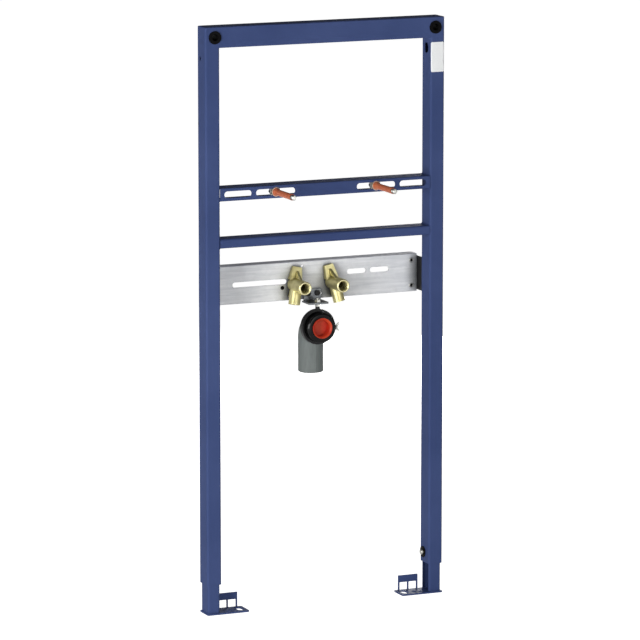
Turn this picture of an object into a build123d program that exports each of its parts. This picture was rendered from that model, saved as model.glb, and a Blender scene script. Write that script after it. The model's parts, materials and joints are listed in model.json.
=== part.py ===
"""Basin installation frame: a coated steel frame with telescopic feet, basin studs, water and waste fittings.

Millimetres. The origin is the middle of the top rail's back face, where the wall bracket bears.
X runs to the right as seen from the front, Y towards the wall and Z up.
"""
import os
from math import cos, radians, sin
from build123d import *

os.makedirs("parts", exist_ok=True)

# Frame
frame_width = 500
frame_height = 1140  # from the floor to the top, with the feet as they are set
profile_depth = 40
post_width = 30
sheet = 2
corner_radius = 4
top_edge_radius = 2
fold_radius = 2  # outer edge of a folded sheet
top_rail_height = 40
lower_rail_height = 18
lower_rail_level = 724  # middle of the rail above the floor
fit = 0.3  # clearance round a pin, plug or bush

# Wall fixings in the top corners
bush_edge = 20  # from the rail's end to the bush
bush_flange_radius = 12.5
bush_flange = 2
bush_radius = 10
bush_bore_radius = 6.5

# Holes in the posts
cross_hole_drop = 21  # below the post's top end to the middle of the upper cross holes
cross_slot_depth = 18
cross_slot_height = 21
cross_hole_radius = 4
cross_hole_setback = 15
side_hole_drop = 146
side_hole_setback = 6
side_hole_radius = 3

# Slotted rail and basin studs
slotted_rail_height = 25
slotted_rail_level = 818.5
slot_height = 13
inner_slot_length = 81.6
inner_slot_centre = 105.2
outer_slot_length = 56.5
outer_slot_centre = 183.3
stud_spacing = 210
stud_radius = 5
stud_reach = 90  # tip of the stud in front of the rail
stud_tail = 16  # end of the stud behind the rail's front sheet
stud_tip = 10  # bare threaded length past the sleeve
stud_core_radius = 4.2  # bottom of the thread at the tip
stud_chamfer = 1
sleeve_radius = 6
sleeve_root_radius = 8
sleeve_root = 12  # length of the sleeve's flared root
stud_collar_radius = 9
stud_collar = 2.5
slide_play = 0.2
backing_side = 18
backing_thickness = 4
stud_nut_flats = 17
stud_nut_height = 8

# Telescopic feet
foot_extension = 59  # end of the post above the floor, as set
leg_inside = 200  # length of the leg inside the post, as set
leg_play = 0.5
leg_corner_radius = 4
foot_length = 87
foot_depth = 43
foot_thickness = 3
foot_bolt_radius = 4
foot_bolt_inset = 45.5  # from the foot's outer end to the first bolt hole
foot_bolt_front = 10  # from the foot's front edge to the first bolt hole
foot_bolt_step = 9  # from the first bolt hole to the second, both ways
foot_slot_width = 13
foot_slot_length = 26
foot_slot_inset = 74.5
lug_start = 36  # from the foot's outer end
lug_length = 42
lug_height = 29
lug_band = 14  # solid upper band above the windows
lug_web = 3
clamp_screw_rise = 20  # above the post's lower end
clamp_screw_setback = 15  # from the post's back face
clamp_nut_flange_radius = 11
clamp_nut_flange = 2
clamp_nut_radius = 7
clamp_nut_length = 9
clamp_screw_radius = 4
clamp_head_radius = 6
clamp_head_height = 4.5
clamp_head_round = 3

# Fittings plate behind the frame
plate_length = 449
plate_height = 75
plate_level = 630.5
plate_standoff = 30  # front face of the plate behind the frame's back plane
plate_flange = 26
plate_slot_height = 10
long_slot_length = 113
long_slot_centre = -110
short_slot_length = 40
short_slot_centres = (95, 144)
short_slot_rise = 11  # above the middle of the plate
pilot_hole_radius = 2
pilot_hole_x = 20
pilot_hole_rise = 28
small_hole_radius = 1.5
cable_hole_radius = 4
cable_hole_x = -62
cable_hole_drop = 12  # below the middle of the plate
bracket_tab = 22
bracket_height = 67
rivet_hole_radius = 2.6
rivet_spacing = 50
rivet_inset = 11.5

# Wall elbows for the water supply
boss_spacing = 80
boss_level = 625
splay = 12  # degrees, lower pipes outwards
tail_tilt = 10  # degrees, lower pipes forwards
elbow_axis = 18  # middle of the elbow in front of the plate
boss_radius = 13
boss_length = 44
boss_chamfer = 1
boss_bore_radius = 9.3
boss_bore_depth = 16
waterway_radius = 7
tail_waterway_radius = 6.5
tail_radius = 11.5
tail_length = 38
tail_bore_radius = 8
tail_bore_depth = 18
lug_top = 34.5  # elbow's lug above the boss
lug_top_width = 18
lug_top_thickness = 8
shoulder_rise = 8
shoulder_width = 25
shoulder_thickness = 14
rib_rise = 28
rib_reach = 20  # from the middle of the elbow along the boss
rib_thickness = 5
elbow_flange = 5
elbow_flange_width = 12
pad_thickness = 4
pad_width = 11
pad_drop = 26

# Waste pipe, its clamp and the bracket that carries it
waste_level = 543
pipe_radius = 25
pipe_wall = 2
pipe_end_level = 448
pipe_end_chamfer = 3
bend_radius = 28
clamp_front = -4  # front of the clamp against the frame's back plane
clamp_width = 11
lining_thickness = 5
band_thickness = 4
screw_drop = 4  # wing screw below the middle of the clamp
screw_boss_radius = 5
screw_boss_height = 3
screw_hole_depth = 6
wing_screw_radius = 2.5
wing_hub_radius = 4
wing_hub = 3
wing_reach = 7
wing_span = 18
wing_thickness = 2.5
rod_boss_radius = 4.5
rod_boss_height = 5
rod_radius = 3
rod_nut_flats = 10
rod_nut_height = 5
rod_spare = 3  # rod above the upper nut
bracket_width = 36
shelf_width = 42
bracket_rise = 25
bracket_sheet = 3
bracket_front = 9  # bracket's edge in front of the rod
bracket_corner = 4
bracket_bolt_radius = 3
bracket_bolt_rise = 17
bracket_bolt_spacing = 20
bracket_bolt_spare = 2  # bolt past its nut
bracket_head_flats = 10
bracket_head_height = 4
bracket_nut_height = 5
seal_radius = 29
seal_gap = 1  # from the clamp to the seal
seal_cover = 9  # seal over the pipe's end
seal_face = 7  # seal in front of the pipe's end
seal_edge_radius = 3
seal_tail = 14  # seal inside the pipe
seal_wall = 4.5
plug_radius = 20
plug_wall = 1.8
plug_rim = 3
plug_flare = 2.6
plug_depth = 14

# Levels and planes worked out from the sizes above
floor = top_rail_height / 2 - frame_height
half_width = frame_width / 2
front = -profile_depth
rail_span = frame_width - 2 * post_width
post_top = -top_rail_height / 2
post_end = floor + foot_extension
post_x = half_width - post_width / 2
mid_depth = -profile_depth / 2
sides = (("left", -1), ("right", 1))


def save(builder, name):
    """Labels a finished piece and writes it as the node of that name."""
    builder.part.label = name
    export_step(builder.part, f"parts/{name}.step")


def facing_front(x, y, z):
    """A sketch plane that looks out of the front, with its own X to the right and its Y up."""
    return Plane(origin=(x, y, z), x_dir=(1, 0, 0), z_dir=(0, -1, 0))


def facing_side(x, y, z, sign):
    """A sketch plane that looks along X, to the right for 1 and to the left for -1, with its Y up."""
    return Plane(origin=(x, y, z), x_dir=(0, sign, 0), z_dir=(sign, 0, 0))


# Top rail: a closed box across both posts, with a through hole for a bush in each corner
with BuildPart() as top_rail:
    with BuildSketch(Plane.XY.offset(post_top)):
        with Locations((0, mid_depth)):
            RectangleRounded(frame_width, profile_depth, corner_radius)
    extrude(amount=top_rail_height)
    fillet(top_rail.faces().sort_by(Axis.Z)[-1].edges(), top_edge_radius)
    with Locations((0, mid_depth, 0)):
        Box(
            frame_width - 2 * sheet,
            profile_depth - 2 * sheet,
            top_rail_height - 2 * sheet,
            mode=Mode.SUBTRACT,
        )
    with BuildSketch(facing_front(0, 0, 0)):
        with GridLocations(frame_width - 2 * bush_edge, 0, 2, 1):
            Circle(bush_radius + fit)
    extrude(amount=profile_depth, mode=Mode.SUBTRACT)
save(top_rail, "top_rail")

# Posts: closed tubes with cross holes at the top and a hole for the clamp nut at the bottom
for side, sign in sides:
    inner_face = sign * (half_width - post_width)
    outer_face = sign * half_width
    with BuildPart() as post:
        with BuildSketch(Plane.XY.offset(post_end)):
            with Locations((sign * post_x, mid_depth)):
                RectangleRounded(post_width, profile_depth, corner_radius)
                RectangleRounded(
                    post_width - 2 * sheet,
                    profile_depth - 2 * sheet,
                    corner_radius - sheet,
                    mode=Mode.SUBTRACT,
                )
        extrude(amount=post_top - post_end)
        with BuildSketch(facing_side(inner_face, mid_depth, post_top - cross_hole_drop, sign)):
            SlotOverall(cross_slot_height, cross_slot_depth, rotation=90)
        extrude(amount=sheet, mode=Mode.SUBTRACT)
        with BuildSketch(facing_side(outer_face, -cross_hole_setback, post_top - cross_hole_drop, -sign)):
            Circle(cross_hole_radius)
        extrude(amount=sheet, mode=Mode.SUBTRACT)
        with BuildSketch(facing_side(outer_face, -side_hole_setback, post_top - side_hole_drop, -sign)):
            Circle(side_hole_radius)
        extrude(amount=sheet, mode=Mode.SUBTRACT)
        with BuildSketch(facing_side(inner_face, -clamp_screw_setback, post_end + clamp_screw_rise, sign)):
            Circle(clamp_nut_radius + fit)
        extrude(amount=sheet, mode=Mode.SUBTRACT)
    save(post, f"{side}_post")

# Slotted rail: a channel open at the back, with two slots a side for the basin studs
slotted_rail_z = floor + slotted_rail_level
with BuildPart() as slotted_rail:
    with BuildSketch(Plane.YZ.offset(-rail_span / 2)):
        with Locations((mid_depth, slotted_rail_z)):
            Rectangle(profile_depth, slotted_rail_height)
        with Locations((mid_depth + sheet, slotted_rail_z)):
            Rectangle(profile_depth, slotted_rail_height - 2 * sheet, mode=Mode.SUBTRACT)
    extrude(amount=rail_span)
    fillet(slotted_rail.edges().filter_by(Axis.X).sort_by(Axis.Y)[:2], fold_radius)
    with BuildSketch(facing_front(0, front + sheet, slotted_rail_z)):
        with GridLocations(2 * inner_slot_centre, 0, 2, 1):
            SlotOverall(inner_slot_length, slot_height)
        with GridLocations(2 * outer_slot_centre, 0, 2, 1):
            SlotOverall(outer_slot_length, slot_height)
    extrude(amount=sheet, mode=Mode.SUBTRACT)
save(slotted_rail, "slotted_rail")

# Lower rail: a flat tube between the posts
with BuildPart() as lower_rail:
    with BuildSketch(Plane.YZ.offset(-rail_span / 2)):
        with Locations((mid_depth, floor + lower_rail_level)):
            RectangleRounded(profile_depth, lower_rail_height, corner_radius)
            RectangleRounded(
                profile_depth - 2 * sheet,
                lower_rail_height - 2 * sheet,
                corner_radius - sheet,
                mode=Mode.SUBTRACT,
            )
    extrude(amount=rail_span)
save(lower_rail, "lower_rail")

# Corner bushes: flanged plastic sleeves through the top rail for the wall fixings
for side, sign in sides:
    bush_x = sign * (half_width - bush_edge)
    with BuildPart() as corner_bush:
        with BuildSketch(facing_front(bush_x, 0, 0)):
            Circle(bush_radius)
        extrude(amount=profile_depth)
        with BuildSketch(facing_front(bush_x, front, 0)):
            Circle(bush_flange_radius)
        extrude(amount=bush_flange)
        with BuildSketch(facing_front(bush_x, 0, 0)):
            Circle(bush_bore_radius)
        extrude(amount=profile_depth + bush_flange, mode=Mode.SUBTRACT)
    save(corner_bush, f"{side}_corner_bush")

# Legs: channels open towards the middle, sliding in the posts
leg_width = post_width - 2 * (sheet + leg_play)
leg_depth = profile_depth - 2 * (sheet + leg_play)
for side, sign in sides:
    with BuildPart() as leg:
        with BuildSketch(Plane.XY.offset(floor + foot_thickness)):
            with Locations((sign * post_x, mid_depth)):
                RectangleRounded(leg_width, leg_depth, leg_corner_radius)
                RectangleRounded(
                    leg_width - 2 * sheet, leg_depth - 2 * sheet, leg_corner_radius - sheet, mode=Mode.SUBTRACT
                )
            with Locations((sign * (post_x - leg_width / 2), mid_depth)):
                Rectangle(leg_width, leg_depth - 2 * leg_corner_radius, mode=Mode.SUBTRACT)
        extrude(amount=foot_extension + leg_inside - foot_thickness)
    save(leg, f"{side}_leg")

# Foot plates: pressed bases with floor bolt holes, a slot and an upright lug with two windows
window_length = (lug_length - 3 * lug_web) / 2
window_height = lug_height - lug_band
for side, sign in sides:
    foot_outer = sign * half_width
    lug_x = foot_outer - sign * (lug_start + lug_length / 2)
    with BuildPart() as foot_plate:
        with BuildSketch(Plane.XY.offset(floor)):
            with Locations((foot_outer - sign * foot_length / 2, -foot_depth / 2)):
                RectangleRounded(foot_length, foot_depth, corner_radius)
            first_bolt = (foot_outer - sign * foot_bolt_inset, foot_bolt_front - foot_depth)
            second_bolt = (first_bolt[0] - sign * foot_bolt_step, first_bolt[1] + foot_bolt_step)
            with Locations(first_bolt, second_bolt):
                Circle(foot_bolt_radius, mode=Mode.SUBTRACT)
            with Locations((foot_outer - sign * foot_slot_inset, -foot_depth / 2)):
                SlotOverall(foot_slot_length, foot_slot_width, rotation=90, mode=Mode.SUBTRACT)
        extrude(amount=foot_thickness)
        with BuildSketch(facing_front(lug_x, 0, floor + foot_thickness)):
            with Locations((0, lug_height / 2)):
                Rectangle(lug_length, lug_height)
            with Locations((0, window_height / 2)):
                with GridLocations(window_length + lug_web, 0, 2, 1):
                    Rectangle(window_length, window_height, mode=Mode.SUBTRACT)
        extrude(amount=sheet)
    save(foot_plate, f"{side}_foot_plate")

# Clamp nuts and clamp screws: they press the legs against the posts from the inner side
for side, sign in sides:
    nut_plane = facing_side(
        sign * (half_width - post_width), -clamp_screw_setback, post_end + clamp_screw_rise, sign
    )
    with BuildPart() as clamp_nut:
        with BuildSketch(nut_plane):
            Circle(clamp_nut_radius)
        extrude(amount=clamp_nut_length)
        with BuildSketch(nut_plane.offset(-clamp_nut_flange)):
            Circle(clamp_nut_flange_radius)
        extrude(amount=clamp_nut_flange)
        with BuildSketch(nut_plane.offset(-clamp_nut_flange)):
            Circle(clamp_screw_radius + fit)
        extrude(amount=clamp_nut_flange + clamp_nut_length, mode=Mode.SUBTRACT)
    save(clamp_nut, f"{side}_clamp_nut")

    screw_reach = post_width - 2 * sheet - leg_play - fit
    with BuildPart() as clamp_screw:
        with BuildSketch(nut_plane.offset(-clamp_nut_flange)):
            Circle(clamp_head_radius)
        extrude(amount=-clamp_head_height)
        fillet(clamp_screw.faces().sort_by(Axis((0, 0, 0), (sign, 0, 0)))[0].edges(), clamp_head_round)
        with BuildSketch(nut_plane.offset(-clamp_nut_flange)):
            Circle(clamp_screw_radius)
        extrude(amount=clamp_nut_flange + screw_reach)
    save(clamp_screw, f"{side}_clamp_screw")

# Basin studs: threaded rods clamped in the inner slots, each with a collar, a plastic sleeve and a nut behind
collar_back = front - slide_play
sleeve_back = collar_back - stud_collar
sleeve_front = front - stud_reach + stud_tip
nut_front = front + sheet + slide_play + backing_thickness
for side, sign in sides:
    stud_x = sign * stud_spacing / 2
    with BuildPart() as stud:
        with BuildSketch(facing_front(stud_x, front + stud_tail, slotted_rail_z)):
            Circle(stud_radius)
        extrude(amount=front + stud_tail - sleeve_front)
        with BuildSketch(facing_front(stud_x, sleeve_front, slotted_rail_z)):
            Circle(stud_core_radius)
        extrude(amount=stud_tip)
        chamfer(stud.faces().sort_by(Axis.Y)[0].edges(), stud_chamfer)
    save(stud, f"{side}_stud")

    with BuildPart() as stud_collar_part:
        with BuildSketch(facing_front(stud_x, collar_back, slotted_rail_z)):
            Circle(stud_collar_radius)
            Circle(stud_radius + fit, mode=Mode.SUBTRACT)
        extrude(amount=stud_collar)
    save(stud_collar_part, f"{side}_stud_collar")

    with BuildPart() as stud_sleeve:
        with BuildSketch(facing_front(stud_x, sleeve_back, slotted_rail_z)):
            Circle(sleeve_root_radius)
        with BuildSketch(facing_front(stud_x, sleeve_back - sleeve_root, slotted_rail_z)):
            Circle(sleeve_radius)
        loft()
        with BuildSketch(facing_front(stud_x, sleeve_back - sleeve_root, slotted_rail_z)):
            Circle(sleeve_radius)
        extrude(amount=sleeve_back - sleeve_root - sleeve_front)
        with BuildSketch(facing_front(stud_x, sleeve_back, slotted_rail_z)):
            Circle(stud_radius + fit)
        extrude(amount=sleeve_back - sleeve_front, mode=Mode.SUBTRACT)
    save(stud_sleeve, f"{side}_stud_sleeve")

    with BuildPart() as stud_backing:
        with BuildSketch(facing_front(stud_x, nut_front, slotted_rail_z)):
            Rectangle(backing_side, backing_side)
            Circle(stud_radius + fit, mode=Mode.SUBTRACT)
        extrude(amount=backing_thickness)
    save(stud_backing, f"{side}_stud_backing")

    with BuildPart() as stud_nut:
        with BuildSketch(facing_front(stud_x, nut_front + stud_nut_height, slotted_rail_z)):
            RegularPolygon(stud_nut_flats / 2, 6, major_radius=False)
            Circle(stud_radius + fit, mode=Mode.SUBTRACT)
        extrude(amount=stud_nut_height)
    save(stud_nut, f"{side}_stud_nut")

# Fittings plate: a galvanised channel open towards the wall, with slots for the fittings
plate_z = floor + plate_level
plate_bottom = plate_z - plate_height / 2
elbow_z = floor + boss_level
waste_z = floor + waste_level
lining_outer = pipe_radius + fit + lining_thickness
band_inner = lining_outer + fit
band_outer = band_inner + band_thickness
bracket_z = waste_z + band_outer + rod_boss_height + rod_nut_height
bracket_bolt_z = bracket_z + bracket_bolt_rise
with BuildPart() as mounting_plate:
    with BuildSketch(Plane.YZ.offset(-plate_length / 2)):
        with Locations((plate_standoff + plate_flange / 2, plate_z)):
            Rectangle(plate_flange, plate_height)
        with Locations((plate_standoff + sheet + plate_flange / 2, plate_z)):
            Rectangle(plate_flange, plate_height - 2 * sheet, mode=Mode.SUBTRACT)
    extrude(amount=plate_length)
    fillet(mounting_plate.edges().filter_by(Axis.X).sort_by(Axis.Y)[:2], fold_radius)
    with BuildSketch(facing_front(0, plate_standoff + sheet, plate_z)):
        with Locations((long_slot_centre, 0)):
            SlotOverall(long_slot_length, plate_slot_height)
        with Locations(*[(x, short_slot_rise) for x in short_slot_centres]):
            SlotOverall(short_slot_length, plate_slot_height)
        with Locations((cable_hole_x, -cable_hole_drop)):
            Circle(cable_hole_radius)
        with Locations((-pilot_hole_x, pilot_hole_rise)):
            Circle(pilot_hole_radius)
        with Locations((pilot_hole_x, -pilot_hole_rise)):
            Circle(small_hole_radius)
        with Locations((0, bracket_bolt_z - plate_z)):
            with GridLocations(bracket_bolt_spacing, 0, 2, 1):
                Circle(bracket_bolt_radius + fit)
        with GridLocations(plate_length - 2 * rivet_inset, rivet_spacing, 2, 2):
            Circle(rivet_hole_radius)
    extrude(amount=sheet, mode=Mode.SUBTRACT)
save(mounting_plate, "mounting_plate")

# Plate brackets: bent strips from behind the plate's ends forward to the posts' back faces
for side, sign in sides:
    plate_end = sign * plate_length / 2
    tab_y = plate_standoff + sheet
    with BuildPart() as plate_bracket:
        with BuildSketch(Plane.XY.offset(plate_z - bracket_height / 2)):
            with BuildLine():
                Polyline(
                    (plate_end - sign * bracket_tab, tab_y),
                    (plate_end, tab_y),
                    (plate_end, 0),
                    (sign * (half_width - sheet), 0),
                )
                offset(amount=sheet, side=Side.LEFT if sign > 0 else Side.RIGHT, kind=Kind.INTERSECTION)
            make_face()
        extrude(amount=bracket_height)
        with BuildSketch(facing_front(plate_end - sign * rivet_inset, tab_y + sheet, plate_z)):
            with GridLocations(0, rivet_spacing, 1, 2):
                Circle(rivet_hole_radius)
        extrude(amount=sheet, mode=Mode.SUBTRACT)
    save(plate_bracket, f"{side}_plate_bracket")

# Wall elbows: cast brass with a threaded outlet, a splayed tail and a ribbed lug that tapers up the plate
elbow_y = plate_standoff - elbow_axis
seat_depth = elbow_axis - pad_thickness  # from the middle of the elbow back to the pad
tail_forward = sin(radians(tail_tilt))
for side, sign in sides:
    centre = (sign * boss_spacing / 2, elbow_y, elbow_z)
    lean = sign * sin(radians(splay))
    rise = cos(radians(splay))
    tail_down = cos(radians(tail_tilt))
    outlet = Plane(origin=centre, x_dir=(rise, 0, lean), z_dir=(0, -1, 0))
    tail = Plane(origin=centre, z_dir=(lean * tail_down, -tail_forward, -rise * tail_down))
    lug = Plane(origin=centre, x_dir=(0, 1, 0), z_dir=(-lean, 0, rise))
    rib = Plane(origin=centre, x_dir=(0, -1, 0), z_dir=(-rise, 0, -lean))
    seat = Plane(origin=(centre[0], elbow_y + seat_depth, elbow_z), x_dir=(rise, 0, lean), z_dir=(0, -1, 0))
    with BuildPart() as wall_elbow:
        with BuildSketch(outlet.offset(-seat_depth)):
            Circle(boss_radius)
        extrude(amount=seat_depth + boss_length)
        with BuildSketch(tail):
            Circle(tail_radius)
        extrude(amount=tail_length)
        with BuildSketch(lug.offset(shoulder_rise)):
            with Locations((elbow_axis - shoulder_thickness / 2, 0)):
                Rectangle(shoulder_thickness, shoulder_width)
        with BuildSketch(lug.offset(lug_top)):
            with Locations((elbow_axis - lug_top_thickness / 2, 0)):
                Rectangle(lug_top_thickness, lug_top_width)
        loft()
        with BuildSketch(rib.offset(-rib_thickness / 2)):
            with BuildLine():
                Polyline(
                    (lug_top_thickness - elbow_axis, rib_rise),
                    (rib_reach, tail_radius),
                    (rib_reach, shoulder_rise),
                    (lug_top_thickness - elbow_axis, shoulder_rise),
                    close=True,
                )
            make_face()
        extrude(amount=rib_thickness)
        with BuildSketch(seat):
            with Locations((0, (shoulder_rise - pad_drop) / 2)):
                Rectangle(elbow_flange_width, shoulder_rise + pad_drop)
        extrude(amount=elbow_flange)
        with BuildSketch(outlet.offset(boss_length)):
            Circle(boss_bore_radius)
        extrude(amount=-boss_bore_depth, mode=Mode.SUBTRACT)
        chamfer(wall_elbow.faces().sort_by(Axis.Y)[0].edges(), boss_chamfer)
        with BuildSketch(outlet):
            Circle(waterway_radius)
        extrude(amount=boss_length, mode=Mode.SUBTRACT)
        with BuildSketch(tail.offset(tail_length)):
            Circle(tail_bore_radius)
        extrude(amount=-tail_bore_depth, mode=Mode.SUBTRACT)
        with BuildSketch(tail):
            Circle(tail_waterway_radius)
        extrude(amount=tail_length, mode=Mode.SUBTRACT)
    save(wall_elbow, f"{side}_wall_elbow")

    with BuildPart() as elbow_pad:
        with BuildSketch(seat):
            with Locations((0, (shoulder_rise - pad_drop) / 2)):
                Rectangle(pad_width, shoulder_rise + pad_drop)
        extrude(amount=-pad_thickness)
    save(elbow_pad, f"{side}_elbow_pad")

# Pipe bracket: a bent angle on the fittings plate that carries the waste pipe's clamp
rod_y = clamp_front + clamp_width / 2
bracket_edge = rod_y - bracket_front
with BuildPart() as pipe_bracket:
    with BuildSketch(facing_front(0, plate_standoff, bracket_z)):
        Rectangle(bracket_width, bracket_rise, align=(Align.CENTER, Align.MIN))
    extrude(amount=bracket_sheet)
    with BuildSketch(Plane.XY.offset(bracket_z)):
        with Locations((0, plate_standoff)):
            Rectangle(shelf_width, plate_standoff - bracket_edge, align=(Align.CENTER, Align.MAX))
    extrude(amount=bracket_sheet)
    fillet(pipe_bracket.edges().filter_by(Axis.Z).sort_by(Axis.Y)[:2], bracket_corner)
    with BuildSketch(Plane.XY.offset(bracket_z)):
        with Locations((0, rod_y)):
            Circle(rod_radius + fit)
    extrude(amount=bracket_sheet, mode=Mode.SUBTRACT)
    with BuildSketch(facing_front(0, plate_standoff, bracket_bolt_z)):
        with GridLocations(bracket_bolt_spacing, 0, 2, 1):
            Circle(bracket_bolt_radius + fit)
    extrude(amount=bracket_sheet, mode=Mode.SUBTRACT)
save(pipe_bracket, "pipe_bracket")

# Pair of bracket bolts and their nuts behind the plate
bracket_face = facing_front(0, plate_standoff - bracket_sheet, bracket_bolt_z)
with BuildPart() as bracket_bolt:
    with BuildSketch(bracket_face):
        with GridLocations(bracket_bolt_spacing, 0, 2, 1):
            RegularPolygon(bracket_head_flats / 2, 6, major_radius=False)
    extrude(amount=bracket_head_height)
    with BuildSketch(bracket_face):
        with GridLocations(bracket_bolt_spacing, 0, 2, 1):
            Circle(bracket_bolt_radius)
    extrude(amount=-(bracket_sheet + sheet + bracket_nut_height + bracket_bolt_spare))
save(bracket_bolt, "bracket_bolt")

with BuildPart() as bracket_nut:
    with BuildSketch(facing_front(0, plate_standoff + sheet, bracket_bolt_z)):
        with GridLocations(bracket_bolt_spacing, 0, 2, 1):
            RegularPolygon(bracket_head_flats / 2, 6, major_radius=False)
            Circle(bracket_bolt_radius + fit, mode=Mode.SUBTRACT)
    extrude(amount=-bracket_nut_height)
save(bracket_nut, "bracket_nut")

# Threaded rod with a nut above and below the bracket
rod_foot = waste_z + band_outer
rod_top = bracket_z + bracket_sheet + rod_nut_height + rod_spare
with BuildPart() as clamp_rod:
    with BuildSketch(Plane((0, rod_y, rod_foot))):
        Circle(rod_radius)
    extrude(amount=rod_top - rod_foot)
save(clamp_rod, "clamp_rod")

for place, nut_z in (("lower", bracket_z - rod_nut_height), ("upper", bracket_z + bracket_sheet)):
    with BuildPart() as rod_nut:
        with BuildSketch(Plane((0, rod_y, nut_z))):
            RegularPolygon(rod_nut_flats / 2, 6, major_radius=False)
            Circle(rod_radius + fit, mode=Mode.SUBTRACT)
        extrude(amount=rod_nut_height)
    save(rod_nut, f"{place}_rod_nut")

# Pipe clamp: a closed band with a boss for the rod on top and one for the wing screw on the right
boss_root = band_inner + band_thickness / 2
wing_x = band_outer + screw_boss_height
screw_z = waste_z - screw_drop
with BuildPart() as pipe_clamp:
    with BuildSketch(facing_front(0, clamp_front + clamp_width, waste_z)):
        Circle(band_outer)
        Circle(band_inner, mode=Mode.SUBTRACT)
    extrude(amount=clamp_width)
    with BuildSketch(Plane((0, rod_y, waste_z + boss_root))):
        Circle(rod_boss_radius)
    extrude(amount=band_outer - boss_root + rod_boss_height)
    with BuildSketch(Plane((0, rod_y, rod_foot))):
        Circle(rod_radius + fit)
    extrude(amount=rod_boss_height, mode=Mode.SUBTRACT)
    with BuildSketch(facing_side(wing_x, rod_y, screw_z, 1)):
        Circle(screw_boss_radius)
    extrude(amount=boss_root - wing_x)
    with BuildSketch(facing_side(wing_x, rod_y, screw_z, 1)):
        Circle(wing_screw_radius + fit)
    extrude(amount=-screw_hole_depth, mode=Mode.SUBTRACT)
save(pipe_clamp, "pipe_clamp")

with BuildPart() as clamp_lining:
    with BuildSketch(facing_front(0, clamp_front + clamp_width, waste_z)):
        Circle(lining_outer)
        Circle(pipe_radius + fit, mode=Mode.SUBTRACT)
    extrude(amount=clamp_width)
save(clamp_lining, "clamp_lining")

# Wing screw in the clamp's side boss
with BuildPart() as wing_screw:
    with BuildSketch(facing_side(wing_x, rod_y, screw_z, 1)):
        Circle(wing_screw_radius)
    extrude(amount=fit - screw_hole_depth)
    with BuildSketch(facing_side(wing_x, rod_y, screw_z, 1)):
        Circle(wing_hub_radius)
    extrude(amount=wing_hub)
    with BuildSketch(facing_front(wing_x, rod_y + wing_thickness / 2, screw_z)):
        with BuildLine():
            Polyline(
                (0, -wing_hub_radius),
                (wing_reach, -wing_span / 2),
                (wing_reach, -wing_hub_radius),
                (wing_hub, 0),
                (wing_reach, wing_hub_radius),
                (wing_reach, wing_span / 2),
                (0, wing_hub_radius),
                close=True,
            )
        make_face()
    extrude(amount=wing_thickness)
save(wing_screw, "wing_screw")

# Waste elbow: a plastic pipe that turns forward through the clamp and ends in the seal
pipe_y = clamp_front + clamp_width + fit + bend_radius
seal_back = clamp_front - seal_gap
pipe_front = seal_back - seal_cover
seal_front = pipe_front - seal_face
with BuildPart() as waste_elbow:
    with BuildLine(Plane.YZ) as pipe_run:
        FilletPolyline(
            (pipe_y, floor + pipe_end_level), (pipe_y, waste_z), (pipe_front, waste_z), radius=bend_radius
        )
    with BuildSketch(Plane((0, pipe_y, floor + pipe_end_level))):
        Circle(pipe_radius)
    sweep(path=pipe_run.line)
    chamfer(waste_elbow.faces().sort_by(Axis.Z)[0].edges(), pipe_end_chamfer)
    with BuildSketch(Plane((0, pipe_y, floor + pipe_end_level))):
        Circle(pipe_radius - pipe_wall)
    sweep(path=pipe_run.line, mode=Mode.SUBTRACT)
save(waste_elbow, "waste_elbow")

# Seal sleeve: a rubber nipple over the pipe's end with a tail inside the pipe
seal_bore = pipe_radius - pipe_wall - fit - seal_wall
with BuildPart() as seal_sleeve:
    with BuildSketch(facing_front(0, seal_back, waste_z)):
        Circle(seal_radius)
    extrude(amount=seal_cover + seal_face)
    fillet(seal_sleeve.faces().sort_by(Axis.Y)[0].edges(), seal_edge_radius)
    with BuildSketch(facing_front(0, seal_back, waste_z)):
        Circle(pipe_radius + fit)
    extrude(amount=seal_cover, mode=Mode.SUBTRACT)
    with BuildSketch(facing_front(0, pipe_front, waste_z)):
        Circle(pipe_radius - pipe_wall - fit)
    extrude(amount=-seal_tail)
    with BuildSketch(facing_front(0, seal_front, waste_z)):
        Circle(seal_bore)
    extrude(amount=-(seal_face + seal_tail), mode=Mode.SUBTRACT)
save(seal_sleeve, "seal_sleeve")

# Inlet plug: a dished cap with a rim on the seal
with BuildPart() as inlet_plug:
    with BuildSketch(facing_front(0, seal_front, waste_z)):
        Circle(plug_radius)
    extrude(amount=plug_rim)
    with BuildSketch(facing_front(0, seal_front, waste_z)):
        Circle(seal_bore - fit)
    extrude(amount=-plug_depth)
    with BuildSketch(facing_front(0, seal_front - plug_rim, waste_z)):
        Circle(seal_bore - fit - plug_wall)
    extrude(amount=-(plug_rim + plug_depth - plug_wall), mode=Mode.SUBTRACT)
    chamfer(inlet_plug.faces().sort_by(Axis.Y)[0].edges().sort_by(SortBy.LENGTH)[0], plug_flare)
save(inlet_plug, "inlet_plug")
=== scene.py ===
import json
from math import cos, pi, radians, sin

import bmesh
import bpy
from mathutils import Matrix, Vector


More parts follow.
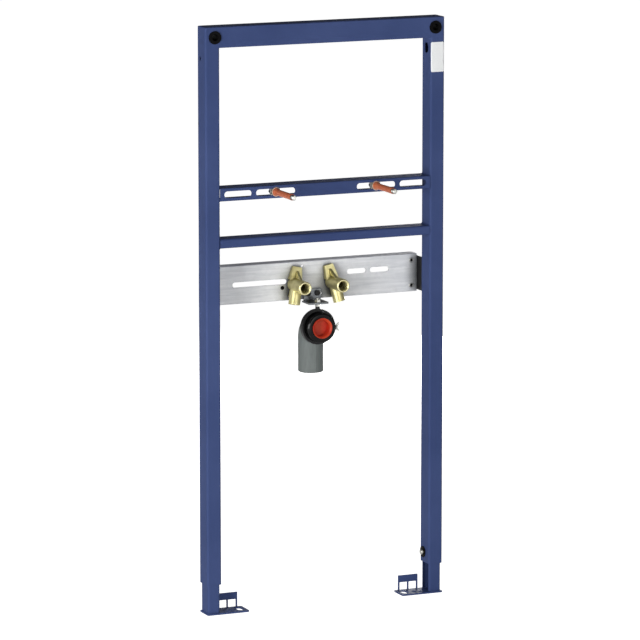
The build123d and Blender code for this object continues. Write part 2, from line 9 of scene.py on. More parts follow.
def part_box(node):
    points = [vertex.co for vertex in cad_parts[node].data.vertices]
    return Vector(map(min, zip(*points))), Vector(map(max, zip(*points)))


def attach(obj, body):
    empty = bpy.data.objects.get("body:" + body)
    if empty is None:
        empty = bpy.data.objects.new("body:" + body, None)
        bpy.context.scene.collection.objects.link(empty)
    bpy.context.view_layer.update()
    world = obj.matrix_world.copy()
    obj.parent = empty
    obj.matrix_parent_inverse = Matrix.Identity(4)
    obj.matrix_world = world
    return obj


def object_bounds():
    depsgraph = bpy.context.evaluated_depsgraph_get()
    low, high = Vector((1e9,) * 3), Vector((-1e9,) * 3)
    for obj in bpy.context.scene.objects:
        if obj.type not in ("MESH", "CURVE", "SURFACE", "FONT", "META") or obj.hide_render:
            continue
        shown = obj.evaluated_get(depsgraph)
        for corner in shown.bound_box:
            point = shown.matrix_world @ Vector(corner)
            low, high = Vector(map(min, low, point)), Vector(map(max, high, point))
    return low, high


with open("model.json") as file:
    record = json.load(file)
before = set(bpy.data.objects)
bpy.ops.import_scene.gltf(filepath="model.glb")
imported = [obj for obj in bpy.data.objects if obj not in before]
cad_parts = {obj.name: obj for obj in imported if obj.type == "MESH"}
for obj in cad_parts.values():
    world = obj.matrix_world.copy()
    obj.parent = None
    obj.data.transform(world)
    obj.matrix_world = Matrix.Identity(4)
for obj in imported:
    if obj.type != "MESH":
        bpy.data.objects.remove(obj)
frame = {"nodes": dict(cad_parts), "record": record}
cad_low, cad_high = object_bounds()
nodes = frame["nodes"]
record = frame["record"]
mounts = {entry["name"]: entry for entry in record["mounts"]}
sides = {"left": -1, "right": 1}  # each with its direction along X

# Sizes of the details, in millimetres
MM = 0.001
STUD_TIP = 10.0  # bare length past the sleeve
STUD_LEAD = 1.2  # end of the tip without thread
STUD_CORE = 4.2
STUD_RIDGE = 0.8  # radius of the thread's square section
STUD_PITCH = 1.5
ROD_RIDGE = 0.3
ROD_PITCH = 1.0
OUTLET_RIDGE = 0.55
OUTLET_PITCH = 1.814  # of a half inch pipe thread
RIVET_INSET = 11.5  # from the plate's end
RIVET_SPACING = 50.0
RIVET_RING = 3.9  # middle of the rolled head
RIVET_ROLL = 1.0
RIVET_CORE = 0.8  # depth of the black disc painted as shade in each rivet's middle
RIVET_FLAT = 0.6  # height of the head as a share of a round roll's
HOLE_PLUG = (-62.0, -12.0)  # from the middle of the plate, to the right and up
HOLE_RADIUS = 4.0
PLUG_SUNK = 0.6  # from the plate's front to the disc's middle
PLUG_DEPTH = 1.0
SEAM_RADIUS = 0.7
WELD_STEP = 1.5
WELD_DROP = 1.5
WELD_INSET = 5.0  # clear of the posts' front edges and of the legs' edges
WELD_BACK = 3.0  # clear of the posts' back edges
POST_CORNER = 4.0  # radius of the posts' edges
STICKER_EDGE = 1.2  # clear of the post's sides
STICKER_TOP = 9.0  # below the post's top
STICKER_BOTTOM = 67.0
STICKER_CORNER = 2.0
STICKER_LIFTS = (0.03, 0.18)  # of the paper's inner and outer face above the paint

# Profiles of turned rings: radius, and distance in front of the mouth, in millimetres
OUTLET_RIM = ((10.2, -0.6), (10.35, 0.1), (10.7, 0.3), (11.7, 0.3), (12.05, 0.1), (12.15, -0.6))
SEAL_LIP = ((27.0, -0.6), (27.2, 0.0), (27.35, -0.07), (28.93, -1.65), (29.06, -1.8), (28.6, -2.5))

# Steps of round forms
THREAD_STEPS = 24  # in a turn
RIDGE_SIDES = 4
RIVET_STEPS = 28
ROLL_STEPS = 10
RIM_STEPS = 64
LIP_STEPS = 96
SEAM_STEPS = 12
STICKER_STEPS = 32
DROP_LEVEL = 2  # subdivisions of a weld's drop

# Stage, light and camera, in metres, watts and degrees
FLOOR_HALF = 30.0
FLOOR_WHITE = 0.93  # glow that makes the lit floor white to the camera
WORLD_WHITE = 1.0
MIRROR = 0.5  # glow of the floor and the sweep in mirrors
FILL = 0.12  # strength of the even light from all round
SWEEP_EDGE = (0.0, 0.2)  # rise of the white sweep over the horizon, where mirrors see it fade
SOFTBOXES = (  # name, place, width and height, power
    ("key_softbox", (-3.2, -1.9, -0.25), (1.4, 1.6), 92),
    ("front_softbox", (0.4, -3.7, -0.45), (1.6, 1.6), 41),
    ("back_softbox", (2.3, 2.9, -0.75), (1.6, 1.6), 106),
)
CAMERA_PLACE = (-3.486, -7.993, 0.964)
CAMERA_TURN = 23.59  # heading, to the right of square on
CAMERA_DIP = 9.94  # below level
CAMERA_LENS = 256.8  # in millimetres, like the sensor's width
CAMERA_SENSOR = 36.0

# Kinds, turns and sockets of nodes
FLOAT = "NodeSocketFloat"
VECTOR = "NodeSocketVector"
UPRIGHT = (0.0, 0.0, 0.0)
TO_FRONT = (pi / 2, 0.0, 0.0)  # turns a piece made along Z to look out of the front
MIX_SHARE, MIX_FIRST, MIX_SECOND = 0, 6, 7  # a Mix node's inputs for colours
MIX_RESULT = 2


# Colours and shader nodes

def linear(hex_colour):
    """An sRGB hex colour as linear RGBA."""
    shares = [int(hex_colour[i:i + 2], 16) / 255 for i in (1, 3, 5)]
    return [s / 12.92 if s <= 0.04045 else ((s + 0.055) / 1.055) ** 2.4 for s in shares] + [1.0]


def add(tree, kind, inputs=None, **settings):
    """Adds a node with its settings, and its inputs as values or as links from other sockets."""
    made = tree.nodes.new(kind)
    for name, value in settings.items():
        setattr(made, name, value)
    for key, value in (inputs or {}).items():
        if isinstance(value, bpy.types.NodeSocket):
            tree.links.new(value, made.inputs[key])
        else:
            made.inputs[key].default_value = value
    return made


def combine(tree, operation, first, second):
    """Works out one value from two values or sockets."""
    return add(tree, "ShaderNodeMath", {0: first, 1: second}, operation=operation).outputs["Value"]


def per_metre(size_mm):
    """The scale of a pattern whose features are that many millimetres across."""
    return 1 / (size_mm * MM)


def noise(tree, place, size_mm, detail=2.0):
    """A soft noise whose features are that many millimetres across."""
    inputs = {"Vector": place, "Scale": per_metre(size_mm), "Detail": detail}
    return add(tree, "ShaderNodeTexNoise", inputs).outputs["Fac"]


def squeezed(tree, place, times):
    """Coordinates in which a pattern is that many times finer along X, Y and Z."""
    return add(tree, "ShaderNodeMapping", {"Vector": place, "Scale": times}).outputs["Vector"]


def finish_of(name, constants):
    """A new material with constants on its shader: returns it, its tree, its shader and its coordinates."""
    material = bpy.data.materials.new(name)
    material.use_nodes = True
    tree = material.node_tree
    shader = tree.nodes["Principled BSDF"]
    for key, value in constants.items():
        shader.inputs[key].default_value = value
    place = add(tree, "ShaderNodeTexCoord").outputs["Object"]
    return material, tree, shader, place


def bump(tree, shader, height, depth_mm, strength):
    """Links a height pattern to a shader's normal."""
    made = add(tree, "ShaderNodeBump", {"Height": height, "Distance": depth_mm * MM, "Strength": strength})
    tree.links.new(made.outputs["Normal"], shader.inputs["Normal"])


def tone(tree, shader, pattern, dark, light, low=0.3, high=0.7):
    """Colours a shader from dark to light as a pattern runs from low to high, and returns the colour."""
    ramp = add(tree, "ShaderNodeValToRGB", {"Fac": pattern})
    ramp.color_ramp.elements[0].position = low
    ramp.color_ramp.elements[0].color = linear(dark)
    ramp.color_ramp.elements[1].position = high
    ramp.color_ramp.elements[1].color = linear(light)
    tree.links.new(ramp.outputs["Color"], shader.inputs["Base Color"])
    return ramp.outputs["Color"]


def hollows(tree, shader, colour, dark, reach_mm, shut, free):
    """Paints shade into a shader's colour: darker from where the surface is free to where it is shut in, as
    in a bore.
    """
    sky = add(tree, "ShaderNodeAmbientOcclusion", {"Distance": reach_mm * MM}).outputs["AO"]
    share = add(tree, "ShaderNodeMapRange", {"Value": sky, "From Min": shut, "From Max": free})
    inputs = {MIX_SHARE: share.outputs["Result"], MIX_FIRST: linear(dark), MIX_SECOND: colour}
    mixed = add(tree, "ShaderNodeMix", inputs, data_type="RGBA")
    tree.links.new(mixed.outputs[MIX_RESULT], shader.inputs["Base Color"])


def gloss(tree, shader, pattern, low, high):
    """Lets a shader's roughness follow a pattern between two values."""
    made = add(tree, "ShaderNodeMapRange", {"Value": pattern, "To Min": low, "To Max": high})
    tree.links.new(made.outputs["Result"], shader.inputs["Roughness"])


# Finishes

def blue_powder_coat():
    """Baked polyester powder on steel sheet: an even satin skin with a fine orange peel and a faint cloud."""
    material, tree, shader, place = finish_of("blue_powder_coat", {"Specular IOR Level": 0.08})
    cloud = noise(tree, place, size_mm=160, detail=3.0)
    tone(tree, shader, cloud, dark="#3b4a77", light="#455482")
    peel = noise(tree, place, size_mm=2.2, detail=1.0)
    gloss(tree, shader, peel, low=0.48, high=0.62)
    bump(tree, shader, peel, depth_mm=0.05, strength=0.25)
    return material


def galvanised_sheet():
    """Zinc on rolled sheet: pale grey with soft streaks, a trace of spangle and a shade by the fittings."""
    material, tree, shader, place = finish_of("galvanised_sheet", {"Metallic": 0.1})
    spangle = add(tree, "ShaderNodeTexVoronoi", {"Vector": place, "Scale": per_metre(9)})
    shade = add(tree, "ShaderNodeSeparateColor", {"Color": spangle.outputs["Color"]}).outputs["Red"]
    spangle_share = 0.12
    trace = combine(tree, "MULTIPLY", shade, spangle_share)
    streak = noise(tree, squeezed(tree, place, times=(1.0, 1.0, 14.0)), size_mm=70, detail=4.0)
    mixed = combine(tree, "ADD", trace, streak)
    skin = tone(tree, shader, mixed, dark="#d6d8da", light="#f0f1f2", low=0.35, high=0.8)
    # Painted shade: the sheet darkens where the fittings stand close in front of it
    hollows(tree, shader, skin, dark="#54575a", reach_mm=34, shut=0.45, free=0.95)
    gloss(tree, shader, streak, low=0.42, high=0.6)
    return material


def zinc_plate():
    """Bright zinc plate on turned and pressed steel: cool grey with faint tool marks."""
    material, tree, shader, place = finish_of("zinc_plate", {"Metallic": 1.0})
    grain = noise(tree, place, size_mm=1.6)
    tone(tree, shader, grain, dark="#a9aaa6", light="#c8c7c0")
    gloss(tree, shader, grain, low=0.26, high=0.42)
    return material


def pickled_steel():
    """Pressed steel sheet: grey, darkened as painted shade for the dark surroundings it mirrors, with drawn
    streaks that catch the light.
    """
    material, tree, shader, place = finish_of("pickled_steel", {"Metallic": 0.9})
    drawn = noise(tree, squeezed(tree, place, times=(1.0, 5.0, 5.0)), size_mm=12, detail=3.0)
    # The dark grey is partly painted shade, standing for the dark surroundings that the steel mirrors
    tone(tree, shader, drawn, dark="#505356", light="#84878a")
    gloss(tree, shader, drawn, low=0.28, high=0.46)
    return material


def cast_brass():
    """Sand cast brass, blasted: a dull pale yellow skin with fine pits, and painted shade in its bores and
    recesses.
    """
    material, tree, shader, place = finish_of("cast_brass", {"Metallic": 0.92})
    cloud = noise(tree, place, size_mm=14, detail=4.0)
    skin = tone(tree, shader, cloud, dark="#c8be84", light="#e6dea8")
    # Painted shade: the colour runs to near black where the brass is shut in
    hollows(tree, shader, skin, dark="#1c170a", reach_mm=14, shut=0.2, free=0.7)
    grit = noise(tree, place, size_mm=0.9)
    gloss(tree, shader, grit, low=0.38, high=0.52)
    bump(tree, shader, grit, depth_mm=0.12, strength=0.35)
    return material


def turned_brass():
    """Brass faced on a lathe: brighter and glossier than the casting, round the outlets' mouths."""
    constants = {"Base Color": linear("#e4dcae"), "Metallic": 0.9}
    material, tree, shader, place = finish_of("turned_brass", constants)
    marks = noise(tree, place, size_mm=1.2)
    gloss(tree, shader, marks, low=0.22, high=0.4)
    return material


def moulded_black():
    """Black moulded polyamide: matt with a spark eroded grain."""
    constants = {"Base Color": linear("#050506"), "Specular IOR Level": 0.06}
    material, tree, shader, place = finish_of("moulded_black", constants)
    grain = noise(tree, place, size_mm=1.0)
    gloss(tree, shader, grain, low=0.42, high=0.6)
    bump(tree, shader, grain, depth_mm=0.04, strength=0.3)
    return material


def black_rubber():
    """Moulded rubber: near black, with a soft bloom and a shine on its rounded edges."""
    material, tree, shader, place = finish_of("black_rubber", {"Specular IOR Level": 0.2})
    bloom = noise(tree, place, size_mm=9, detail=3.0)
    tone(tree, shader, bloom, dark="#050505", light="#090909")
    gloss(tree, shader, bloom, low=0.1, high=0.18)
    return material


def black_coated_steel():
    """Black coated steel: an even near black, duller than the rubber beside it."""
    constants = {"Base Color": linear("#0a0a0b"), "Specular IOR Level": 0.25}
    material, tree, shader, place = finish_of("black_coated_steel", constants)
    peel = noise(tree, place, size_mm=2.0)
    gloss(tree, shader, peel, low=0.32, high=0.5)
    return material


def grey_polypropylene():
    """Extruded and moulded polypropylene pipe: a waxy mid grey with faint draw lines."""
    material, tree, shader, place = finish_of("grey_polypropylene", {"Specular IOR Level": 0.22})
    draw = noise(tree, squeezed(tree, place, times=(6.0, 6.0, 1.0)), size_mm=25, detail=3.0)
    tone(tree, shader, draw, dark="#6d7371", light="#767c7a")
    gloss(tree, shader, draw, low=0.45, high=0.6)
    return material


def red_polyethylene():
    """Moulded polyethylene plug: a soft red that drifts towards orange."""
    constants = {"Roughness": 0.42, "Specular IOR Level": 0.2}
    material, tree, shader, place = finish_of("red_polyethylene", constants)
    cloud = noise(tree, place, size_mm=18)
    tone(tree, shader, cloud, dark="#b62c1c", light="#c64424")
    return material


def orange_sleeve_plastic():
    """Extruded sleeve of soft plastic: a warm orange with a slight sheen."""
    constants = {"Roughness": 0.4, "Specular IOR Level": 0.25}
    material, tree, shader, place = finish_of("orange_sleeve_plastic", constants)
    cloud = noise(tree, place, size_mm=12)
    tone(tree, shader, cloud, dark="#c8643f", light="#d27852")
    return material


def beige_collar_plastic():
    """Moulded collar at the root of a stud: a pale beige."""
    material, tree, shader, place = finish_of("beige_collar_plastic", {"Roughness": 0.45})
    cloud = noise(tree, place, size_mm=6)
    tone(tree, shader, cloud, dark="#bfab97", light="#d4c4b3")
    return material


def white_paper():
    """Coated paper sticker: plain white with a faint fibre."""
    material, tree, shader, place = finish_of("white_paper", {"Roughness": 0.5})
    fibre = noise(tree, place, size_mm=1.5, detail=3.0)
    tone(tree, shader, fibre, dark="#f6f8f9", light="#feffff")
    return material


finishes = {
    "blue_coat": blue_powder_coat(),
    "galvanised": galvanised_sheet(),
    "zinc_steel": zinc_plate(),
    "raw_steel": pickled_steel(),
    "brass": cast_brass(),
    "black_plastic": moulded_black(),
    "black_steel": black_coated_steel(),
    "rubber": black_rubber(),
    "grey_plastic": grey_polypropylene(),
    "red_plastic": red_polyethylene(),
    "orange_plastic": orange_sleeve_plastic(),
    "beige_plastic": beige_collar_plastic(),
}
for entry in record["subparts"]:
    for holder in nodes[entry["node"]].material_slots:
        holder.material = finishes[entry["material_slot"]]


# Trees of what repeats

def tree_of(name, kinds):
    """A Geometry Nodes tree with named inputs: returns the tree and what it is given."""
    tree = bpy.data.node_groups.new(name, "GeometryNodeTree")
    tree.interface.new_socket("Geometry", in_out="INPUT", socket_type="NodeSocketGeometry")
    for label, kind in kinds.items():
        tree.interface.new_socket(label, in_out="INPUT", socket_type=kind)
    tree.interface.new_socket("Geometry", in_out="OUTPUT", socket_type="NodeSocketGeometry")
    return tree, add(tree, "NodeGroupInput").outputs


def close_tree(tree, copies, material):
    """Ends a tree with a copy at each point, in real, smooth faces of one material."""
    spread = add(tree, "GeometryNodeInstanceOnPoints", copies).outputs["Instances"]
    real = add(tree, "GeometryNodeRealizeInstances", {"Geometry": spread}).outputs["Geometry"]
    smooth = add(tree, "GeometryNodeSetShadeSmooth", {"Geometry": real}).outputs["Geometry"]
    done = add(tree, "GeometryNodeSetMaterial", {"Geometry": smooth, "Material": material})
    add(tree, "NodeGroupOutput", {"Geometry": done.outputs["Geometry"]})
    return tree


def circle(tree, steps, radius):
    """A circle as a curve."""
    inputs = {"Resolution": steps, "Radius": radius}
    return add(tree, "GeometryNodeCurvePrimitiveCircle", inputs).outputs["Curve"]


def thread_tree(name, material):
    """A helical ridge from each point on: the thread of a rod, or of a bore, on its plain wall."""
    kinds = {"Radius": FLOAT, "Ridge": FLOAT, "Pitch": FLOAT, "Length": FLOAT, "Turn": VECTOR}
    tree, given = tree_of(name, kinds)
    rounds = combine(tree, "DIVIDE", given["Length"], given["Pitch"])
    helix = add(tree, "GeometryNodeCurveSpiral", {
        "Resolution": THREAD_STEPS, "Rotations": rounds, "Height": given["Length"],
        "Start Radius": given["Radius"], "End Radius": given["Radius"]})
    level = add(tree, "GeometryNodeSetCurveNormal", {"Curve": helix.outputs["Curve"]}, mode="Z_UP")
    ridge = add(tree, "GeometryNodeCurveToMesh", {
        "Curve": level.outputs["Curve"], "Profile Curve": circle(tree, RIDGE_SIDES, given["Ridge"]),
        "Fill Caps": True})
    copies = {"Points": given["Geometry"], "Instance": ridge.outputs["Mesh"], "Rotation": given["Turn"]}
    return close_tree(tree, copies, material)


def rivet_tree(name, material):
    """The rolled head of a blind rivet at each point."""
    tree, given = tree_of(name, {"Ring radius": FLOAT, "Roll": FLOAT, "Turn": VECTOR})
    head = add(tree, "GeometryNodeCurveToMesh", {
        "Curve": circle(tree, RIVET_STEPS, given["Ring radius"]),
        "Profile Curve": circle(tree, ROLL_STEPS, given["Roll"])})
    flat = add(tree, "GeometryNodeTransform", {
        "Geometry": head.outputs["Mesh"], "Scale": (1.0, 1.0, RIVET_FLAT)})
    copies = {"Points": given["Geometry"], "Instance": flat.outputs["Geometry"], "Rotation": given["Turn"]}
    return close_tree(tree, copies, material)


def pin_tree(name, material):
    """A short round pin at each point: a black disc of painted shade in a blind rivet's middle, or a black
    disc in a hole.
    """
    tree, given = tree_of(name, {"Radius": FLOAT, "Depth": FLOAT, "Turn": VECTOR})
    pin = add(tree, "GeometryNodeMeshCylinder", {
        "Vertices": RIVET_STEPS, "Radius": given["Radius"], "Depth": given["Depth"]})
    copies = {"Points": given["Geometry"], "Instance": pin.outputs["Mesh"], "Rotation": given["Turn"]}
    return close_tree(tree, copies, material)


def weld_tree(name, material):
    """Overlapping drops along each edge: the scales of a weld bead under the paint."""
    tree, given = tree_of(name, {"Step": FLOAT, "Drop radius": FLOAT})
    line = add(tree, "GeometryNodeMeshToCurve", {"Mesh": given["Geometry"]}).outputs["Curve"]
    steps = add(tree, "GeometryNodeResampleCurve", {"Curve": line, "Length": given["Step"]}, mode="LENGTH")
    drop = add(tree, "GeometryNodeMeshIcoSphere", {
        "Radius": given["Drop radius"], "Subdivisions": DROP_LEVEL})
    copies = {"Points": steps.outputs["Curve"], "Instance": drop.outputs["Mesh"]}
    return close_tree(tree, copies, material)


# Detail pieces

def put(name, data):
    """A new object in the scene."""
    made = bpy.data.objects.new(name, data)
    bpy.context.scene.collection.objects.link(made)
    return made


def keep(name, mesh, body):
    """Puts a finished mesh in the scene as a piece that rides on a body."""
    piece = put(name, mesh)
    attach(piece, body)


def keep_shape(name, shape, material, body):
    """Keeps an edited shape as a plain mesh of one material."""
    made = bpy.data.meshes.new(name)
    shape.to_mesh(made)
    shape.free()
    made.materials.append(material)
    keep(name, made, body)


def grow(name, tree, points, values, body, edges=()):
    """Runs a tree on points and edges in metres, and keeps what it makes as a plain mesh."""
    seed = bpy.data.meshes.new(name + "_seed")
    seed.from_pydata(points, list(edges), [])
    holder = put(name + "_seed", seed)
    run = holder.modifiers.new("nodes", "NODES")
    run.node_group = tree
    for socket in tree.interface.items_tree:
        if socket.in_out == "INPUT" and socket.name in values:
            run[socket.identifier] = values[socket.name]
    depsgraph = bpy.context.evaluated_depsgraph_get()
    made = bpy.data.meshes.new_from_object(holder.evaluated_get(depsgraph))
    holder.modifiers.remove(run)
    bpy.data.objects.remove(holder)
    bpy.data.meshes.remove(seed)
    keep(name, made, body)


def turned(name, profile, mouth, steps, material, body):
    """A ring about an axis along Y, from a closed profile that is set at the middle of a mouth."""
    shape = bmesh.new()
    rings = []
    for k in range(steps):
        angle = 2 * pi * k / steps
        ring = []
        for radius, out in profile:
            x = mouth[0] + radius * MM * cos(angle)
            z = mouth[2] + radius * MM * sin(angle)
            ring.append(shape.verts.new((x, mouth[1] - out * MM, z)))
        rings.append(ring)
    for k in range(steps):
        here = rings[k]
        there = rings[(k + 1) % steps]
        for i in range(len(profile)):
            j = (i + 1) % len(profile)
            shape.faces.new((here[i], here[j], there[j], there[i])).smooth = True
    bmesh.ops.recalc_face_normals(shape, faces=shape.faces)
    keep_shape(name, shape, material, body)


def middle(low, high):
    """The middle of a box."""
    return [(start + end) / 2 for start, end in zip(low, high)]


def build_threads():
    """Threads on the studs' bare tips, on the clamp rod's end and in the brass outlets."""
    rod_thread = thread_tree("rod_thread", finishes["zinc_steel"])
    for side in sides:
        low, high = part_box(f"{side}_stud")
        centre = middle(low, high)
        root = (centre[0], low[1] + STUD_TIP * MM, centre[2])
        grow(f"{side}_stud_thread", rod_thread, [root], {
            "Radius": STUD_CORE * MM, "Ridge": STUD_RIDGE * MM, "Pitch": STUD_PITCH * MM,
            "Length": (STUD_TIP - STUD_LEAD) * MM, "Turn": TO_FRONT}, f"{side}_basin_stud")
    low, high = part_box("clamp_rod")
    centre = middle(low, high)
    nut_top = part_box("upper_rod_nut")[1][2]
    grow("clamp_rod_thread", rod_thread, [(centre[0], centre[1], nut_top)], {
        "Radius": (high[0] - low[0]) / 2, "Ridge": ROD_RIDGE * MM, "Pitch": ROD_PITCH * MM,
        "Length": high[2] - nut_top, "Turn": UPRIGHT}, "frame")
    bores = [mounts[f"{side}_supply_outlet"] for side in sides]
    reach = bores[0]["dims"]["length_mm"] * MM
    roots = [(x, y + reach / 2, z) for x, y, z in (bore["pos_m"] for bore in bores)]
    grow("outlet_threads", thread_tree("outlet_thread", finishes["brass"]), roots, {
        "Radius": bores[0]["dims"]["r_mm"] * MM, "Ridge": OUTLET_RIDGE * MM, "Pitch": OUTLET_PITCH * MM,
        "Length": reach, "Turn": TO_FRONT}, "frame")


def build_outlet_rims():
    """Bright turned faces round the mouths of the brass outlets."""
    bright = turned_brass()
    for side in sides:
        bore = mounts[f"{side}_supply_outlet"]["pos_m"]
        mouth = (bore[0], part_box(f"{side}_wall_elbow")[0][1], bore[2])
        turned(f"{side}_outlet_rim", OUTLET_RIM, mouth, RIM_STEPS, bright, "frame")


def build_rivets():
    """Blind rivets that hold the fittings plate to its brackets, with black discs in their middles as painted
    shade, and a black disc in the plate's round hole.
    """
    low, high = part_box("mounting_plate")
    centre = middle(low, high)
    columns = (low[0] + RIVET_INSET * MM, high[0] - RIVET_INSET * MM)
    levels = (centre[2] - RIVET_SPACING * MM / 2, centre[2] + RIVET_SPACING * MM / 2)
    places = [(x, low[1], z) for x in columns for z in levels]
    grow("plate_rivets", rivet_tree("blind_rivet", finishes["zinc_steel"]), places, {
        "Ring radius": RIVET_RING * MM, "Roll": RIVET_ROLL * MM, "Turn": TO_FRONT}, "frame")
    # Black discs in the rivets' middles: painted shade for their hollow centres
    grow("rivet_cores", pin_tree("rivet_core", finishes["black_steel"]), places, {
        "Radius": (RIVET_RING - RIVET_ROLL) * MM, "Depth": RIVET_CORE * MM, "Turn": TO_FRONT},
        "frame")
    # A black disc sunk in the plate's round hole, which makes the hole read dark
    hole = (centre[0] + HOLE_PLUG[0] * MM, low[1] + PLUG_SUNK * MM, centre[2] + HOLE_PLUG[1] * MM)
    grow("hole_plug", pin_tree("hole_plug", finishes["black_plastic"]), [hole], {
        "Radius": HOLE_RADIUS * MM, "Depth": PLUG_DEPTH * MM, "Turn": TO_FRONT}, "frame")


def build_welds():
    """Painted weld beads where the rails meet the posts, and the legs meet their foot plates."""
    scales = weld_tree("weld_bead", finishes["blue_coat"])
    size = {"Step": WELD_STEP * MM, "Drop radius": WELD_DROP * MM}
    inset = WELD_INSET * MM
    starts = []
    ends = []
    for side, sign in sides.items():
        low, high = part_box(f"{side}_post")
        inner = low[0] if sign > 0 else high[0]
        levels = [high[2]]
        for rail in ("slotted_rail", "lower_rail"):
            levels += [corner[2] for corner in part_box(rail)]
        starts += [(inner, low[1] + inset, z) for z in levels]
        ends += [(inner, high[1] - WELD_BACK * MM, z) for z in levels]
    beads = [(k, k + len(starts)) for k in range(len(starts))]
    grow("rail_welds", scales, starts + ends, size, "frame", beads)
    for side, sign in sides.items():
        low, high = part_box(f"{side}_leg")
        outer = high[0] if sign > 0 else low[0]
        corners = [(outer, low[1] + inset, low[2]), (outer, high[1] - inset, low[2]),
                   (low[0] + inset, low[1], low[2]), (high[0] - inset, low[1], low[2])]
        grow(f"{side}_foot_welds", scales, corners, size, f"{side}_foot", [(0, 1), (2, 3)])


def build_seal_lip():
    """The bevelled lip round the seal's mouth, which catches the light on its left."""
    low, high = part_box("seal_sleeve")
    centre = middle(low, high)
    mouth = (centre[0], low[1], centre[2])
    turned("seal_lip", SEAL_LIP, mouth, LIP_STEPS, finishes["rubber"], "frame")


def build_seam():
    """The mould seam down the front of the waste pipe."""
    spigot = mounts["waste_spigot"]
    x, y, z = spigot["pos_m"]
    front = Matrix.Translation((x, y - spigot["dims"]["r_mm"] * MM, z))
    shape = bmesh.new()
    bmesh.ops.create_cone(
        shape, cap_ends=True, segments=SEAM_STEPS, radius1=SEAM_RADIUS * MM, radius2=SEAM_RADIUS * MM,
        depth=spigot["dims"]["length_mm"] * MM, matrix=front)
    keep_shape("pipe_seam", shape, finishes["grey_plastic"], "frame")


def build_sticker():
    """A blank paper sticker round the front of the right post, below the top rail."""
    low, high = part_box("right_post")
    width = (high[0] - low[0]) / MM
    shape = bmesh.new()
    rows = []
    for lift in STICKER_LIFTS:
        upper = []
        lower = []
        for k in range(STICKER_STEPS + 1):
            across = STICKER_EDGE + (width - 2 * STICKER_EDGE) * k / STICKER_STEPS
            # The paper follows the post's rounded edges, and its own corners are rounded
            past = max(POST_CORNER - across, across - width + POST_CORNER, 0.0)
            sink = POST_CORNER - ((POST_CORNER + lift) ** 2 - past ** 2) ** 0.5
            near = min(across - STICKER_EDGE, width - STICKER_EDGE - across)
            cut = STICKER_CORNER - (STICKER_CORNER ** 2 - max(STICKER_CORNER - near, 0.0) ** 2) ** 0.5
            x = low[0] + across * MM
            y = low[1] + sink * MM
            upper.append(shape.verts.new((x, y, high[2] - (STICKER_TOP + cut) * MM)))
            lower.append(shape.verts.new((x, y, high[2] - (STICKER_BOTTOM - cut) * MM)))
        rows += [upper, lower]
    inner_top, inner_bottom, outer_top, outer_bottom = rows
    bands = ((inner_top, inner_bottom), (outer_top, outer_bottom),
             (inner_top, outer_top), (inner_bottom, outer_bottom))
    for one, other in bands:
        for k in range(STICKER_STEPS):
            shape.faces.new((one[k], one[k + 1], other[k + 1], other[k]))
    for end in (0, -1):
        shape.faces.new((inner_top[end], inner_bottom[end], outer_bottom[end], outer_top[end]))
    bmesh.ops.recalc_face_normals(shape, faces=shape.faces)
    keep_shape("post_sticker", shape, white_paper(), "frame")


build_threads()
build_outlet_rims()
build_rivets()
build_welds()
build_seal_lip()
build_seam()
build_sticker()


# Stage, light and camera

def backdrop_glow(tree, straight, mirrored):
    """The glow of a backdrop: one strength for the camera and through glass, and one in mirrors."""
    path = add(tree, "ShaderNodeLightPath").outputs
    clear = combine(tree, "MAXIMUM", path["Is Camera Ray"], path["Is Transmission Ray"])
    white = combine(tree, "MULTIPLY", clear, straight)
    glint = combine(tree, "MULTIPLY", path["Is Glossy Ray"], mirrored)
    return combine(tree, "MAXIMUM", white, glint)


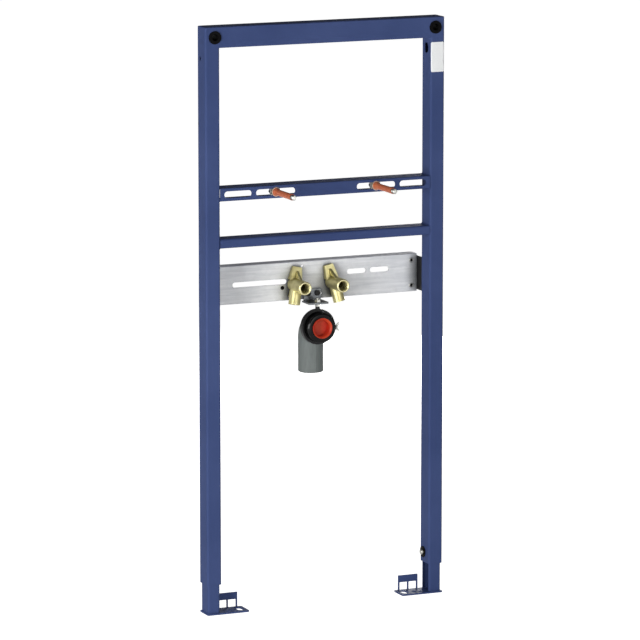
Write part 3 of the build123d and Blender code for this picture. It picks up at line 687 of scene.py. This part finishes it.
def build_stage():
    """A white floor at the lowest level that the feet slide to, so that it hides no foot in any pose.

    The camera and mirrors see it as white, and it keeps the shadow.
    """
    drops = [joint["range_m"][1] for joint in record["behaviour"]["joints"] if joint["axis"][2] < 0]
    level = cad_low[2] - max(drops)
    corners = [(x * FLOOR_HALF, y * FLOOR_HALF, level) for x, y in ((-1, -1), (1, -1), (1, 1), (-1, 1))]
    mesh = bpy.data.meshes.new("floor")
    mesh.from_pydata(corners, [], [(0, 1, 2, 3)])
    floor = put("floor", mesh)
    material = bpy.data.materials.new("studio_floor")
    material.use_nodes = True
    tree = material.node_tree
    tree.nodes.clear()
    seen = backdrop_glow(tree, FLOOR_WHITE, MIRROR)
    paint = add(tree, "ShaderNodeBsdfDiffuse", {"Color": linear("#e6e6e6")}).outputs["BSDF"]
    glow = add(tree, "ShaderNodeEmission", {"Color": linear("#ffffff"), "Strength": seen}).outputs["Emission"]
    both = add(tree, "ShaderNodeAddShader", {0: paint, 1: glow}).outputs["Shader"]
    add(tree, "ShaderNodeOutputMaterial", {"Surface": both})
    mesh.materials.append(material)


def build_world():
    """A white surround for the camera, which mirrors see up to the sweep's edge, and a dim even fill."""
    world = bpy.data.worlds.new("studio")
    world.use_nodes = True
    tree = world.node_tree
    tree.nodes.clear()
    heading = add(tree, "ShaderNodeTexCoord").outputs["Generated"]
    upward = add(tree, "ShaderNodeSeparateXYZ", {"Vector": heading}).outputs["Z"]
    sweep = add(tree, "ShaderNodeMapRange", {
        "Value": upward, "From Min": SWEEP_EDGE[0], "From Max": SWEEP_EDGE[1],
        "To Min": MIRROR, "To Max": FILL}).outputs["Result"]
    seen = backdrop_glow(tree, WORLD_WHITE, sweep)
    strength = combine(tree, "MAXIMUM", seen, FILL)
    fill = add(tree, "ShaderNodeBackground", {"Color": linear("#ffffff"), "Strength": strength})
    add(tree, "ShaderNodeOutputWorld", {"Surface": fill.outputs["Background"]})
    bpy.context.scene.world = world


def build_lights():
    """Two softboxes in front, the stronger one on the left, and one behind for the far sides."""
    aim = Vector((0.0, 0.0, middle(cad_low, cad_high)[2]))
    for name, place, (width, height), power in SOFTBOXES:
        data = bpy.data.lights.new(name, "AREA")
        data.shape = "RECTANGLE"
        data.size = width
        data.size_y = height
        data.energy = power
        lamp = put(name, data)
        lamp.location = place
        lamp.rotation_euler = (aim - Vector(place)).to_track_quat("-Z", "Y").to_euler()


def build_camera():
    """The photograph's view: from the front left and a little above, with a long lens."""
    data = bpy.data.cameras.new("camera")
    data.sensor_width = CAMERA_SENSOR
    data.lens = CAMERA_LENS
    camera = put("camera", data)
    camera.location = CAMERA_PLACE
    turn = radians(CAMERA_TURN)
    dip = radians(CAMERA_DIP)
    ahead = Vector((sin(turn) * cos(dip), cos(turn) * cos(dip), -sin(dip)))
    camera.rotation_euler = ahead.to_track_quat("-Z", "Y").to_euler()
    bpy.context.scene.camera = camera


build_stage()
build_world()
build_lights()
build_camera()
bpy.context.scene.view_settings.view_transform = "Standard"
